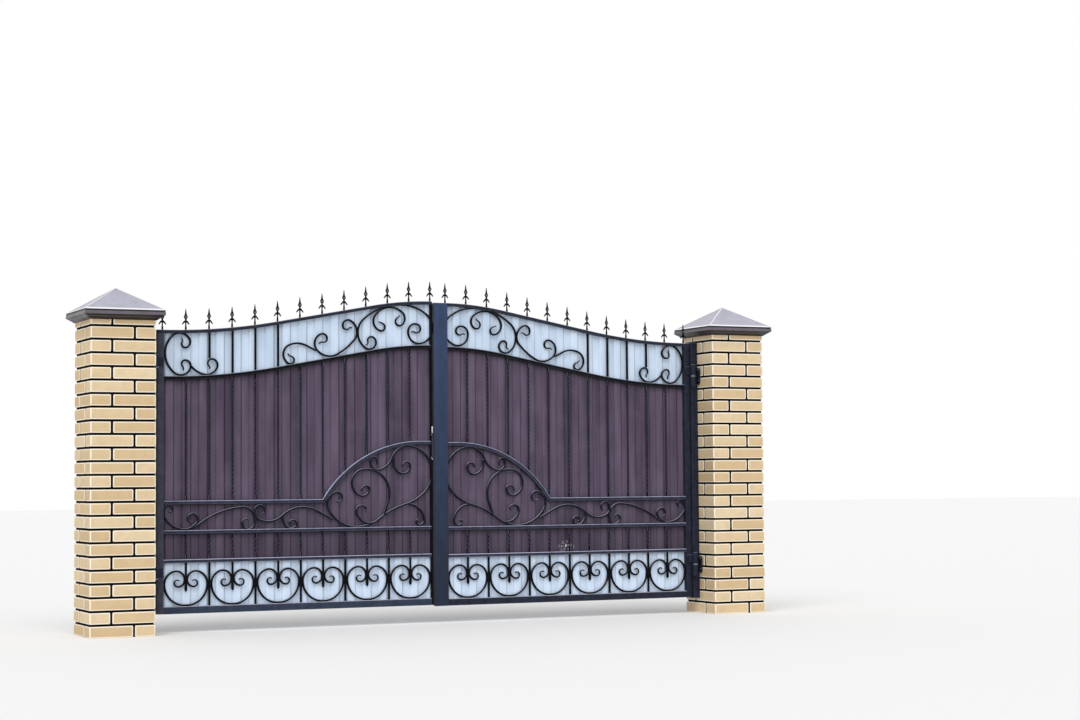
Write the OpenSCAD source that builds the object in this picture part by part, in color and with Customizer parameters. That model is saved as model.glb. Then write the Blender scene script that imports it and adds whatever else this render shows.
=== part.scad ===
// Double-leaf wrought iron driveway gate on two brick pillars.
// Millimetres. X runs along the gate, the street is at -Y, Z is up.
// The origin is the middle of the left pillar's base.

/* [Pillars] */
// side of the square brick pillar
pillar_w = 380; // [250:5:640]
// height of one course, brick and joint together
course_h = 77; // [60:1:110]
// number of courses in a pillar; a higher gate gets more
courses = 24; // [24:1:30]
// how far the cap reaches past the brickwork
cap_overhang = 46; // [15:1:90]
// height of the upright edge of the cap
cap_fascia = 28; // [12:1:60]
// height from the cap's edge up to its point
cap_rise = 141; // [40:1:220]
// height of the sloping collar under the cap's edge
cap_collar = 28; // [8:1:60]
// wall of the sheet metal cap
cap_wall = 3; // [2:0.5:6]
// how far the cap's underside sits below the top of the brickwork
cap_lap = 48; // [8:1:90]
// clearance around the brickwork inside the cap
cap_clear = 2; // [1:0.5:5]

/* [Hinge posts and hinges] */
// side of the square hinge post
post_w = 50; // [40:1:80]
// wall of the hinge post
post_wall = 4; // [2:0.5:6]
// least gap between the top of the hinge post and the cap
post_gap = 25; // [5:1:60]
// gap between the hinge post and a leaf
hinge_gap = 10; // [7:0.5:20]
// outer radius of a hinge barrel
barrel_r = 16; // [13:0.5:20]
// radius of a hinge pin
pin_r = 8; // [5:0.5:9]
// running clearance around a hinge pin
pin_clear = 0.1; // [0.02:0.02:0.3]
// length of a whole hinge barrel
barrel_len = 150; // [100:1:220]
// vertical gap between the two halves of a barrel
barrel_split = 0.6; // [0.4:0.1:2]
// height of the middle of the lower hinge
lower_hinge_z = 316; // [260:1:420]
// height of the middle of the upper hinge
upper_hinge_z = 1541; // [1300:1:1580]
// thickness of a hinge strap
strap_t = 5; // [3:0.5:8]
// height of a hinge strap
strap_h = 52; // [30:1:60]
// thickness of a post's wall plate
anchor_t = 6; // [4:0.5:10]
// height of a post's wall plate
anchor_h = 110; // [60:1:160]

/* [Leaf frame] */
// height of a leaf's lower edge above the ground
clearance = 109; // [60:1:200]
// depth of the frame tubes, front to back
frame_d = 40; // [30:1:60]
// width of the hinge stile
stile_w = 40; // [30:1:60]
// width of the left leaf's meeting stile
meeting_w = 15; // [15:1:40]
// width of the right leaf's wide meeting stile
wide_w = 87; // [60:1:120]
// thickness of the cover strip
strip_t = 5; // [3:0.5:8]
// how far the cover strip reaches past the wide stile
strip_lap = 6; // [2:1:10]
// gap between the cover strip and the left leaf
meeting_gap = 6; // [6:0.5:15]
// height of the bottom rail
bottom_h = 43; // [30:1:60]
// wall of the frame tubes
tube_wall = 2.5; // [1.5:0.5:4]
// size of the square rails between the bands
rail = 20; // [15:1:30]
// how much lower the right leaf hangs than the left one
right_drop = 7; // [0:0.5:15]
// distance between neighbouring bars
bay = 141; // [120:0.25:160]
// how far the first and last bar lines sit past the stiles' inner edges
bar_inset = 6; // [3:0.5:9]
// height of the top rail's upper edge at the hinge end
shoulder_z = 1763; // [1600:1:1800]
// rise of the top rail from the hinge end to the middle of the gate
rise = 215; // [100:1:300]
// length over which the top rail bends upwards
lower_bend = 690; // [300:10:800]
// length over which the top rail levels out again
upper_bend = 380; // [200:4:600]
// height from the second curved rail's upper edge to the top rail's upper edge
band_h = 271; // [265:0.5:300]
// height of the lower cross rail's upper edge
low_rail_z = 424; // [400:1:480]
// height of the middle cross rail's upper edge
mid_rail_z = 593; // [580:1:610]
// height of the wave rail's upper edge
wave_rail_z = 765; // [750:1:790]
// radius of the arch at its upper edge
arch_r = 750; // [650:5:850]
// rise of the arch above the wave rail
arch_rise = 350; // [300:5:400]
// length of the level piece at the top of the arch
arch_flat = 69; // [40:1:120]

/* [Ironwork] */
// side of the plain bars and the scroll bars
bar = 12; // [8:0.5:16]
// width over the corners of the twisted bars
twist_w = 14; // [10:0.5:20]
// gap left for the weld where a bar or scroll meets a rail
weld = 0.1; // [0.05:0.05:0.5]
// height of a finial
finial_h = 126; // [80:1:180]
// half width of a finial over its two leaves
finial_half = 25; // [15:1:35]
// depth of a finial, front to back
finial_d = 10; // [6:0.5:16]
// length of the swollen end of a heart's middle bar
drop_len = 52; // [30:1:70]
// width of the swollen end of a heart's middle bar
drop_w = 17; // [14:0.5:24]

/* [Sheets] */
// pitch of the ribs in the sheets
rib_pitch = 102.5; // [80:0.5:120]
// distance from the hinge stile's outer edge to the first whole groove of the left leaf
rib_first = 106; // [60:1:160]
// the same distance on the right leaf
rib_first_right = 141; // [60:1:160]
// depth of the ribs
rib_d = 9; // [6:0.5:12]
// thickness of the sheets
sheet_t = 1.2; // [0.8:0.1:2]
// width of the flat groove between two ribs
groove_w = 44; // [30:1:50]
// width of a rib's sloping side
flank_w = 7; // [4:0.5:10]

/* [Pull handle] */
// height of the handle's lower end
pull_z = 1000; // [900:1:1020]
// length of the handle's rod
pull_len = 205; // [150:1:220]
// radius of the handle's rod
pull_r = 3; // [2:0.5:4]
// length of the handle's grip
grip_len = 40; // [25:1:60]
// distance of the handle in front of the stile
pull_off = 10; // [8:1:30]
// distance of the handle's middle from the edge of the sheet
pull_in = 5; // [4:0.5:10]

/* [Hidden] */
$fn = 48;
e = 0.01;
bays = 12;
pillar_h = course_h * max(courses, ceil((shoulder_z + post_gap + cap_lap) / course_h));
// heights and depths
leaf_y = 5;
mid_y = leaf_y + rail / 2;
rail_back = leaf_y + rail;
side = pillar_w / 2;
leaf_x = side + post_w + hinge_gap;
// along a leaf, from the hinge stile's outer edge
bar0 = stile_w - bar_inset;
field_w = bay * bays - 2 * bar_inset;
field_end = stile_w + field_w;
left_w = field_end + meeting_w;
right_w = field_end + wide_w;
pillar_gap = 2 * (post_w + hinge_gap) + left_w + right_w + strip_lap + meeting_gap;
span = pillar_w + pillar_gap;
// hinge axis
axis_x = leaf_x - 15;
axis_y = leaf_y - 6 - barrel_r;
// the scrolls are drawn for a bay of 141, and grow with the bay
grid = bay / 141;
steel = [0.16, 0.19, 0.25];
iron = [0.12, 0.13, 0.17];
galv = [0.75, 0.8, 0.86];

// slope of the straight middle part of the curved rails
function slope() = rise / (bay * bays - (lower_bend + upper_bend) / 2);

// rise of the curved rails at a distance u along the leaf
function lift(u) =
  let (v = u - bar0, l = bay * bays, s = slope())
    v < 0 ? 0 :
    v < lower_bend ? s * v * v / (2 * lower_bend) :
    v < l - upper_bend ? s * (v - lower_bend / 2) :
    v < l ? rise - s * (l - v) * (l - v) / (2 * upper_bend) : rise;

// points of a curved edge between two places, at a given height
function edge(u0, u1, z, n = 60) =
  [for (i = [0:n]) let (u = u0 + (u1 - u0) * i / n) [u, z + lift(u)]];

function flip(p) = [for (i = [len(p) - 1:-1:0]) p[i]];

// upper edge of the wave rail and the arch, at radius r
arch_u = field_end - arch_flat;
arch_z = wave_rail_z + arch_rise - arch_r;
function arch_start(r, z) = -acos((z - arch_z) / r);
function arch_edge(r, z) =
  let (a0 = arch_start(r, z), n = 30)
    concat([[stile_w, z]],
           [for (i = [0:n]) let (a = a0 * (1 - i / n)) [arch_u + r * sin(a), arch_z + r * cos(a)]],
           [[field_end, arch_z + r]]);

// height of the arch or wave rail's upper edge at u
function arch_top(u) =
  u > arch_u ? arch_z + arch_r :
  let (d = arch_u - u)
    d < -arch_r * sin(arch_start(arch_r, wave_rail_z)) ?
      arch_z + sqrt(arch_r * arch_r - d * d) : wave_rail_z;

// A scroll is a chain of arcs, each one [radius, turn], from a start and a heading.

function arc_end(p, h, s) =
  let (g = sign(s[1]), r = s[0] * grid)
    p + r * g * [-sin(h) + sin(h + s[1]), cos(h) - cos(h + s[1])];

function arc_points(p, h, s) =
  let (n = max(2, ceil(abs(s[1]) / 9)))
    [for (i = [1:n]) let (q = arc_end(p, h, [s[0], s[1] * i / n])) [q[0], q[1], h + s[1] * i / n]];

function chain(p, h, segs, i = 0) =
  i >= len(segs) ? [] :
    concat(arc_points(p, h, segs[i]), chain(arc_end(p, h, segs[i]), h + segs[i][1], segs, i + 1));

// the bar thins towards a curled end
function half(i, n, a, b) =
  bar / 2 * min(a ? 0.62 + 0.38 * min(1, i / 10) : 1, b ? 0.62 + 0.38 * min(1, (n - i) / 10) : 1);

module scroll(p, h, segs, thin_start = true, thin_end = true) {
  pts = concat([[p[0], p[1], h]], chain(p, h, segs));
  n = len(pts) - 1;
  left = [for (i = [0:n]) let (w = half(i, n, thin_start, thin_end), a = pts[i][2])
    [pts[i][0] - w * sin(a), pts[i][1] + w * cos(a)]];
  right = [for (i = [0:n]) let (w = half(i, n, thin_start, thin_end), a = pts[i][2])
    [pts[i][0] + w * sin(a), pts[i][1] - w * cos(a)]];
  plate(concat(left, flip(right)), mid_y - bar / 2, bar);
}

// a flat outline in the gate's plane, from y0 backwards by d
module plate(points, y0, d) {
  translate([0, y0 + d, 0])
    rotate([90, 0, 0])
      linear_extrude(height = d)
        polygon(points);
}

module left_leaf() {
  translate([leaf_x, 0, 0])
    children();
}

module right_leaf() {
  translate([span - leaf_x, 0, -right_drop])
    mirror([1, 0, 0])
      children();
}

module box(x0, x1, y0, y1, z0, z1) {
  translate([x0, y0, z0])
    cube([x1 - x0, y1 - y0, z1 - z0]);
}

module tube_up(x0, x1, z0, z1, wall) {
  difference() {
    box(x0, x1, leaf_y, leaf_y + frame_d, z0, z1);
    box(x0 + wall, x1 - wall, leaf_y + wall, leaf_y + frame_d - wall, z0 - 1, z1 + 1);
  }
}

module pillar(x) {
  w = side - cap_clear;
  color([0.84, 0.77, 0.62])
    translate([x, 0, 0]) {
      box(-side, side, -side, side, 0, pillar_h - cap_lap);
      // set back inside the cap
      box(-w, w, -w, w, pillar_h - cap_lap - 1, pillar_h);
    }
}

module square_frustum(z0, z1, w0, w1) {
  polyhedron(
    points = [
      [-w0, -w0, z0], [w0, -w0, z0], [w0, w0, z0], [-w0, w0, z0],
      [-w1, -w1, z1], [w1, -w1, z1], [w1, w1, z1], [-w1, w1, z1]
    ],
    faces = [[0, 1, 2, 3], [4, 7, 6, 5], [0, 4, 5, 1], [1, 5, 6, 2], [2, 6, 7, 3], [3, 7, 4, 0]]
  );
}

module square_point(z0, z1, w0) {
  polyhedron(
    points = [[-w0, -w0, z0], [w0, -w0, z0], [w0, w0, z0], [-w0, w0, z0], [0, 0, z1]],
    faces = [[0, 1, 2, 3], [0, 4, 1], [1, 4, 2], [2, 4, 3], [3, 4, 0]]
  );
}

cap_half = side + cap_overhang;
cap_z = pillar_h - cap_lap + cap_collar;
cap_top = cap_z + cap_fascia;

module cap(x) {
  color([0.38, 0.33, 0.31])
    translate([x, 0, 0])
      difference() {
        union() {
          square_frustum(pillar_h - cap_lap, cap_z, side + cap_wall, cap_half - cap_wall);
          translate([-cap_half, -cap_half, cap_z])
            cube([2 * cap_half, 2 * cap_half, cap_fascia]);
          square_point(cap_top, cap_top + cap_rise, cap_half);
        }
        translate([-side, -side, pillar_h - cap_lap - 1])
          cube([pillar_w, pillar_w, cap_lap + 1]);
      }
}

// the post stands on wall plates on the pillar and carries the lower half of each barrel
post_top = shoulder_z;

module post() {
  color(steel) {
    difference() {
      box(side, side + post_w, leaf_y, leaf_y + post_w, clearance - 12, post_top);
      box(side + post_wall, side + post_w - post_wall, leaf_y + post_wall,
          leaf_y + post_w - post_wall, clearance - 13, post_top - post_wall);
    }
    for (z = [lower_hinge_z, upper_hinge_z]) {
      box(side, side + anchor_t, leaf_y - 38, leaf_y + e, z - anchor_h / 2, z + anchor_h / 2);
      difference() {
        translate([axis_x, axis_y, z - barrel_len / 2])
          cylinder(r = barrel_r, h = barrel_len / 2 - barrel_split / 2);
        translate([axis_x, axis_y, z - barrel_len / 2 - 1])
          cylinder(r = pin_r - 1, h = 6);
      }
      translate([axis_x, axis_y, z - barrel_len / 2 + 5])
        cylinder(r = pin_r, h = barrel_len - 17);
      box(axis_x - 12, side + post_w - 1, axis_y + barrel_r - 4, leaf_y + e,
          z - barrel_len / 2 + 8, z - barrel_len / 2 + 8 + strap_h);
    }
  }
}

// The pieces of a leaf are drawn along u, from the hinge stile's outer edge.

module hinge_halves() {
  for (z = [lower_hinge_z, upper_hinge_z]) {
    z0 = z + barrel_split / 2;
    z1 = z + barrel_len / 2;
    difference() {
      union() {
        translate([axis_x - leaf_x, axis_y, z0])
          cylinder(r = barrel_r, h = z1 - z0);
        box(axis_x - leaf_x, stile_w - 6, axis_y + barrel_r - strap_t, axis_y + barrel_r,
            z0 + 10, z0 + 10 + strap_h);
      }
      translate([axis_x - leaf_x, axis_y, z0 - 1])
        cylinder(r = pin_r + pin_clear, h = z1 - z0 - 4);
    }
    box(3, stile_w - 6, axis_y + barrel_r - e, leaf_y, z0 + 10, z0 + 10 + strap_h);
  }
}

module hinge_stile() {
  tube_up(0, stile_w, clearance, shoulder_z - rail - weld, tube_wall);
}

module bottom_rail() {
  difference() {
    box(stile_w, field_end, leaf_y, leaf_y + frame_d, clearance, clearance + bottom_h);
    box(stile_w - 1, field_end + 1, leaf_y + tube_wall, leaf_y + frame_d - tube_wall,
        clearance + tube_wall, clearance + bottom_h - tube_wall);
  }
}

module top_rail(end) {
  difference() {
    plate(concat(edge(0, end, shoulder_z), flip(edge(0, end, shoulder_z - rail))), leaf_y, frame_d);
    plate(concat(edge(tube_wall, end - tube_wall, shoulder_z - tube_wall),
                 flip(edge(tube_wall, end - tube_wall, shoulder_z - rail + tube_wall))),
          leaf_y + tube_wall, frame_d - 2 * tube_wall);
  }
}

module band_rail() {
  z = shoulder_z - band_h;
  plate(concat(edge(stile_w, field_end, z), flip(edge(stile_w, field_end, z - rail))), leaf_y, rail);
}

module arch_rail() {
  plate(concat(arch_edge(arch_r, wave_rail_z), flip(arch_edge(arch_r - rail, wave_rail_z - rail))),
        leaf_y, rail);
}

module cross_rails() {
  for (z = [low_rail_z, mid_rail_z])
    box(stile_w, field_end, leaf_y, rail_back, z - rail, z);
}

// a bar around u, whose ends are given as heights at its two sides
module upright(u, w, low, high) {
  plate([[u - w / 2, low[0]], [u + w / 2, low[1]], [u + w / 2, high[1]], [u - w / 2, high[0]]],
        mid_y - w / 2, w);
}

function level(z) = [z, z];
function curved(u, w, z) = [z + lift(u - w / 2), z + lift(u + w / 2)];
function on_arch(u, w) = [arch_top(u - w / 2) + weld, arch_top(u + w / 2) + weld];

module twisted_bars() {
  for (k = [1:bays - 1]) {
    u = bar0 + bay * k;
    upright(u, twist_w, on_arch(u, twist_w), curved(u, twist_w, shoulder_z - band_h - rail - weld));
    upright(u, twist_w, level(low_rail_z + weld), level(mid_rail_z - rail - weld));
  }
}

module band_bars() {
  for (k = [3:5]) {
    u = bar0 + bay * k;
    upright(u, bar, curved(u, bar, shoulder_z - band_h + weld), curved(u, bar, shoulder_z - rail - weld));
  }
}

// one side of a finial, from its foot to its tip
foot = 5;
function finial_side() = [
  [foot, 4], [7, 12], [5, 22], [4, 33], [7, 36], [13, 34],
  [20, 27], [22, 22], [finial_half, 25], [24, 34], [18, 43], [9, 50], [5, 56],
  [7, 62], [11, 70], [12, 76], [8, 84], [4, 94], [1.5, finial_h - 3], [0, finial_h]
];

module finials() {
  half_shape = finial_side();
  for (k = [0:bays]) {
    u = bar0 + bay * k;
    z = shoulder_z + weld;
    feet = curved(u, 2 * foot, z);
    plate(concat([[u - foot, feet[0]], [u + foot, feet[1]]],
                 [for (p = half_shape) [u + p[0], z + lift(u) + p[1]]],
                 [for (p = flip(half_shape)) if (p[0] > 0) [u - p[0], z + lift(u) + p[1]]]),
          leaf_y + frame_d / 2 - finial_d / 2, finial_d);
  }
}

// place along the leaf for a pattern measured in grid units from bar line 0
function at_band(k, up) =
  [bar0 + k * bay, shoulder_z - band_h + lift(bar0 + k * bay) + up * grid];

// the space between the two curved rails
module band_space() {
  plate(concat(edge(stile_w, field_end, shoulder_z - rail - weld),
               flip(edge(stile_w, field_end, shoulder_z - band_h + weld))), leaf_y, rail);
}

// height above the second curved rail at which the short bar meets the small scroll
curl_z = 100 * grid;

module band_scrolls() {
  intersection() {
    band_space();
    union() {
      band_curls();
      short_bar();
    }
  }
}

module short_bar() {
  u = bar0 + bay * 2;
  z = shoulder_z - band_h + lift(u);
  upright(u, bar, level(z + curl_z), level(z + band_h));
}

module band_curls() {
  // big C beside the hinge stile
  scroll(at_band(0.807, 221), -45,
    [[16, -77], [22, 146], [36, 97], [66, 100], [135, 50], [149, 49], [63, 109], [35, 108],
     [21, 132], [31, -48]]);
  // its branch, which carries the short bar
  scroll(at_band(1.211, 57), -51,
    [[134, 40], [70, 81], [35, 105], [25, 143], [11, -87]], thin_start = false);
  // open U with both ends curled in
  scroll(at_band(6.839, 96), 60,
    [[18, -77], [23, 109], [29, 107], [61, 113], [105, 76], [377, 22], [75, 107], [33, 135],
     [22, 118], [15, -83]]);
  // its branch towards the hinge stile
  scroll(at_band(5.437, 66), -55,
    [[40, 41], [21, -110], [26, -88], [62, -125], [133, -51], [849, 4]], thin_end = false);
  // largest C, hanging from the top rail
  scroll(at_band(8.977, 36), 17,
    [[19, 91], [21, -114], [34, -100], [45, -109], [112, -103], [365, -49], [253, -32],
     [102, -121], [71, -120], [46, -105], [27, -121], [23, -68], [19, 69]]);
  // small C inside it
  scroll(at_band(9.572, 164), -11,
    [[106, -15], [24, -168], [60, -110], [122, -95], [50, -105], [26, -190], [27, 38]]);
}

// place along the leaf for a pattern measured from bar line 0 and the wave rail's upper edge
function at_arch(k, up) = [bar0 + k * bay, wave_rail_z + up * grid];

// the space between the middle cross rail and the wave rail with its arch
module arch_space() {
  plate(concat(arch_edge(arch_r - rail - weld, wave_rail_z - rail - weld),
               [[field_end, mid_rail_z + weld], [stile_w, mid_rail_z + weld]]), leaf_y, rail);
}

module arch_scrolls() {
  intersection() {
    arch_space();
    arch_curls();
  }
}

module arch_curls() {
  // long S from the crown of the arch to the middle cross rail
  scroll(at_arch(9.458, 208), 75,
    [[44, 54], [15, 106], [46, 136], [117, 58], [113, -80], [167, -124], [281, -30], [490, 24],
     [87, -115], [34, -66], [33, -95], [11, -101]]);
  // its upper branch
  scroll(at_arch(10.251, 241), -107,
    [[71, 90], [46, 115], [23, 74], [26, 102]], thin_start = false);
  // spiral in the middle of the arch
  scroll(at_arch(8.736, 48), 85,
    [[33, -91], [18, -82], [43, -112], [82, -77], [82, -71], [148, -124], [716, 6]], thin_end = false);
  // its lower branch beside the meeting stile
  scroll(at_arch(10.938, -36), -3,
    [[108, -79], [32, -63], [26, -109], [12, -116]], thin_start = false);
  // hook at the foot of the arch, which takes up the wave
  scroll(at_arch(7.618, -11), -45,
    [[20, 100], [29, 49], [35, 96], [74, 101], [212, 85]], thin_end = false);
}

module wave_scrolls() {
  intersection() {
    arch_space();
    wave_curls();
  }
}

module wave_curls() {
  // first wave, curled in at both ends
  scroll(at_arch(0.283, -62), -34,
    [[14, 130], [27, 61], [23, 81], [63, 65], [139, 94], [490, -33], [79, -111], [43, -38],
     [38, -125], [23, -133]]);
  // curl on its back
  scroll(at_arch(1.019, -170), 17,
    [[134, 31], [33, 108], [29, 117], [19, 87]], thin_start = false);
  // second wave, which runs into the arch
  scroll(at_arch(4.312, -84), 38,
    [[30, 85], [28, 105], [47, 104], [129, 70], [191, -67], [1200, -6]], thin_end = false);
  // curl below it
  scroll(at_arch(5.196, -92), -98,
    [[81, 50], [44, 82], [24, 104], [23, 105], [12, 99]], thin_start = false);
}

// one side of a heart, from its inner curl to the middle of its foot
heart_half = [[17, 141], [23, 89], [42, 98], [52, 85], [75, 77], [123, 94]];

module heart(u, z) {
  scroll([u - 41 * grid, z + 142 * grid], 139, heart_half, thin_end = false);
  translate([2 * u, 0, 0])
    mirror([1, 0, 0])
      scroll([u - 41 * grid, z + 142 * grid], 139, heart_half, thin_end = false);
}

module hearts() {
  z0 = clearance + bottom_h + weld;
  zt = low_rail_z - rail - weld;
  for (k = [1:2:bays - 1]) {
    u = bar0 + bay * k;
    heart(u, z0 + bar / 2);
    upright(u, bar, level(z0 + 85 + drop_len), level(zt));
    plate([[u - bar / 2, z0 + 86 + drop_len], [u - drop_w / 2, z0 + 85 + drop_w / 2],
           [u - drop_w / 4, z0 + 85], [u + drop_w / 4, z0 + 85],
           [u + drop_w / 2, z0 + 85 + drop_w / 2], [u + bar / 2, z0 + 86 + drop_len]],
          mid_y - bar / 2, bar);
  }
  for (k = [2:2:bays - 2])
    upright(bar0 + bay * k, bar, level(z0), level(zt));
}

// corners of the ribbed sheet's front face in plan: j counts the four corners of rib i
function rib_corner(first, i, j) =
  [first + i * rib_pitch + [0, groove_w, groove_w + flank_w, rib_pitch - flank_w][j],
   rail_back + (j < 2 ? rib_d : 0)];

// front face at u, which lies between two corners
function rib_between(a, b, u) = [u, a[1] + (b[1] - a[1]) * (u - a[0]) / (b[0] - a[0])];

module ribbed(first, u0, u1) {
  n = ceil((u1 - u0) / rib_pitch);
  corners = [for (i = [-2:n], j = [0:3]) rib_corner(first, i, j)];
  inside = [for (c = corners) if (c[0] > u0 && c[0] < u1) c];
  before = [for (c = corners) if (c[0] <= u0) c];
  after = [for (c = corners) if (c[0] >= u1) c];
  front = concat([rib_between(before[len(before) - 1], inside[0], u0)],
                 inside,
                 [rib_between(inside[len(inside) - 1], after[0], u1)]);
  polygon(concat(front, flip([for (p = front) [p[0], p[1] + sheet_t]])));
}

module sheet(first, outline, z0, z1) {
  intersection() {
    translate([0, 0, z0])
      linear_extrude(height = z1 - z0)
        ribbed(first, stile_w, field_end);
    plate(outline, rail_back - 1, rib_d + sheet_t + 2);
  }
}

module top_sheet(first) {
  z = shoulder_z - band_h - rail / 2;
  sheet(first,
        concat(edge(stile_w, field_end, shoulder_z - rail - weld), flip(edge(stile_w, field_end, z))),
        z - 1, shoulder_z + rise);
}

module main_sheet(first) {
  z = shoulder_z - band_h - rail / 2 - 1;
  zb = low_rail_z - rail / 2;
  sheet(first, concat(edge(stile_w, field_end, z), [[field_end, zb], [stile_w, zb]]),
        zb - 1, shoulder_z + rise);
}

module bottom_sheet(first) {
  translate([0, 0, clearance + bottom_h])
    linear_extrude(height = low_rail_z - rail / 2 - 1 - clearance - bottom_h)
      ribbed(first, stile_w, field_end);
}

module pull() {
  u = field_end + pull_in;
  y = leaf_y - pull_off;
  translate([u, y, pull_z])
    cylinder(r = pull_r, h = pull_len);
  translate([u, y, pull_z + pull_len - grip_len])
    cylinder(r = pull_r + 2, h = grip_len);
  for (z = [pull_z + 12, pull_z + pull_len - grip_len - 12])
    translate([u, leaf_y, z])
      rotate([90, 0, 0])
        cylinder(r = pull_r, h = pull_off);
}

module strip() {
  box(field_end, right_w + strip_lap, leaf_y - strip_t, leaf_y, clearance, shoulder_z + rise - 6);
}

pillar(0);  // pillar_left
pillar(span);  // pillar_right
cap(0);  // cap_left
cap(span);  // cap_right
post();  // post_left
translate([span, 0, 0]) mirror([1, 0, 0]) post();  // post_right
color(steel) left_leaf() hinge_halves();  // l_hinge_halves
color(steel) left_leaf() hinge_stile();  // l_hinge_stile
color(steel) left_leaf()  // l_meeting_stile
    tube_up(field_end, left_w, clearance, shoulder_z + rise - rail - weld, tube_wall);
color(steel) left_leaf() bottom_rail();  // l_bottom_rail
color(steel) left_leaf() top_rail(left_w);  // l_top_rail
color(steel) left_leaf() band_rail();  // l_band_rail
color(steel) left_leaf() arch_rail();  // l_arch_rail
color(steel) left_leaf() cross_rails();  // l_cross_rails
color(iron) left_leaf() twisted_bars();  // l_twisted_bars
color(iron) left_leaf() band_bars();  // l_band_bars
color(iron) left_leaf() finials();  // l_finials
color(iron) left_leaf() band_scrolls();  // l_band_scrolls
color(iron) left_leaf() arch_scrolls();  // l_arch_scrolls
color(iron) left_leaf() wave_scrolls();  // l_wave_scrolls
color(iron) left_leaf() hearts();  // l_hearts
color(galv) left_leaf() top_sheet(rib_first);  // l_top_sheet
color([0.36, 0.3, 0.33]) left_leaf() main_sheet(rib_first);  // l_main_sheet
color(galv) left_leaf() bottom_sheet(rib_first);  // l_bottom_sheet
color([0.85, 0.85, 0.86]) left_leaf() pull();  // l_pull
color(steel) right_leaf() translate([0, 0, right_drop]) hinge_halves();  // r_hinge_halves
color(steel) right_leaf() hinge_stile();  // r_hinge_stile
color(steel) right_leaf()  // r_meeting_stile
    tube_up(field_end, right_w, clearance, shoulder_z + rise - rail - weld, tube_wall);
color(steel) right_leaf() bottom_rail();  // r_bottom_rail
color(steel) right_leaf() top_rail(right_w);  // r_top_rail
color(steel) right_leaf() band_rail();  // r_band_rail
color(steel) right_leaf() arch_rail();  // r_arch_rail
color(steel) right_leaf() cross_rails();  // r_cross_rails
color(iron) right_leaf() twisted_bars();  // r_twisted_bars
color(iron) right_leaf() band_bars();  // r_band_bars
color(iron) right_leaf() finials();  // r_finials
color(iron) right_leaf() band_scrolls();  // r_band_scrolls
color(iron) right_leaf() arch_scrolls();  // r_arch_scrolls
color(iron) right_leaf() wave_scrolls();  // r_wave_scrolls
color(iron) right_leaf() hearts();  // r_hearts
color(galv) right_leaf() top_sheet(rib_first_right);  // r_top_sheet
color([0.36, 0.3, 0.33]) right_leaf() main_sheet(rib_first_right);  // r_main_sheet
color(galv) right_leaf() bottom_sheet(rib_first_right);  // r_bottom_sheet
color([0.2, 0.26, 0.36]) right_leaf() strip();  // cover_strip
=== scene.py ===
"""Looks of a double-leaf wrought iron driveway gate between brick pillars.

Lengths are in millimetres, in the frame of the part: X runs along the gate, Y away from the street and Z up,
from the middle of the left pillar's base. A leaf is drawn along u, from its hinge stile's outer edge.
"""

import math
from functools import partial

import bpy
import numpy as np
from mathutils import Matrix


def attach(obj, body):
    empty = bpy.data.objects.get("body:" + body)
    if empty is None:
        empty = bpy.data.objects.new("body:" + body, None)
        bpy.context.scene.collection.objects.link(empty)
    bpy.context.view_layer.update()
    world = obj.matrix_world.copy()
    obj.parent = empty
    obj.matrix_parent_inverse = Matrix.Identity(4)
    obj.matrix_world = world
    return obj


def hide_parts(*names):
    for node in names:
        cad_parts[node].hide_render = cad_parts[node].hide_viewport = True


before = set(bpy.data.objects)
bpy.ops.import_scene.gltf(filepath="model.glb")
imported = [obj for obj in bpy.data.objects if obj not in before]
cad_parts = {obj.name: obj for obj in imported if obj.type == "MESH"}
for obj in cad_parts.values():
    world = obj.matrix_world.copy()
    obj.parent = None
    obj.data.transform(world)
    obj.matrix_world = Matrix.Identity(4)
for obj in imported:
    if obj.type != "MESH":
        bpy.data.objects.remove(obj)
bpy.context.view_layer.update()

# pillars
pillar_w = 380
brick_l = 250
brick_w = 120
brick_h = 65
bed_joint = 12
upright_joint = 10
joint_depth = 10
courses = 24
brick_seed = {"left": 11, "right": 29}
brick_shades = ("#CFB48C", "#DCC5A0", "#D5BC94", "#E0CBA8", "#D9C19B", "#D2B890")
# radius of an arris, its height at a bed, and width of the band along it that is painted pale as a highlight
arris_r = 3.5
arris_h = 1.5
arris_w = 8
# how rough a brick is worn, and how far a whole one may stand back
brick_wear = 0.8
stand_back = 1.2

# caps
cap_overhang = 46
cap_lap = 48
cap_collar = 28
cap_fascia = 28
cap_rise = 141
cap_sag = 2.2

# hinge posts and hinges
post_w = 50
post_lid = 4
hinge_gap = 10
hinges = (316, 1541)
# how far a post reaches below a leaf, and how far beside and in front of the leaf its hinges stand
post_foot = 12
axis_out = 15
barrel_gap = 6
barrel_r = 16
barrel_rim = 2.2
barrel_len = 150
barrel_split = 0.6
strap_t = 5
strap_h = 52
lower_strap = 8
upper_strap = 10
wall_plate_t = 6
wall_plate_h = 110
wall_plate_out = 38
bolt_up = 34
bolt_out = 24

# leaf frame
clearance = 109
leaf_y = 5
frame_d = 40
stile_w = 40
meeting_w = 15
meeting_gap = 6
wide_w = 87
strip_t = 5
strip_lap = 6
# how far the cover strip ends below the top rail's upper edge
strip_down = 6
bottom_h = 43
rail = 20
right_drop = 7
bay = 141
bays = 12
bar_inset = 6
shoulder_z = 1763
rise = 215
lower_bend = 690
upper_bend = 380
band_h = 271
low_rail_z = 424
mid_rail_z = 593
wave_rail_z = 765
arch_r = 750
arch_rise = 350
arch_flat = 69
# how far a piece runs into what it is welded to
sunk = 1
# width of a rail's rims, painted pale as highlights, and how much weaker the lower rim's highlight is than
# the upper one's
rim_w = 4
lower_rim_highlight = 0.15

# ironwork
bar = 12
twisted_bar = 10
quarter_twist = 13
quarter_rings = 5.5
plain_end = 28
weld = 0.1
short_bar_up = 100
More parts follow.
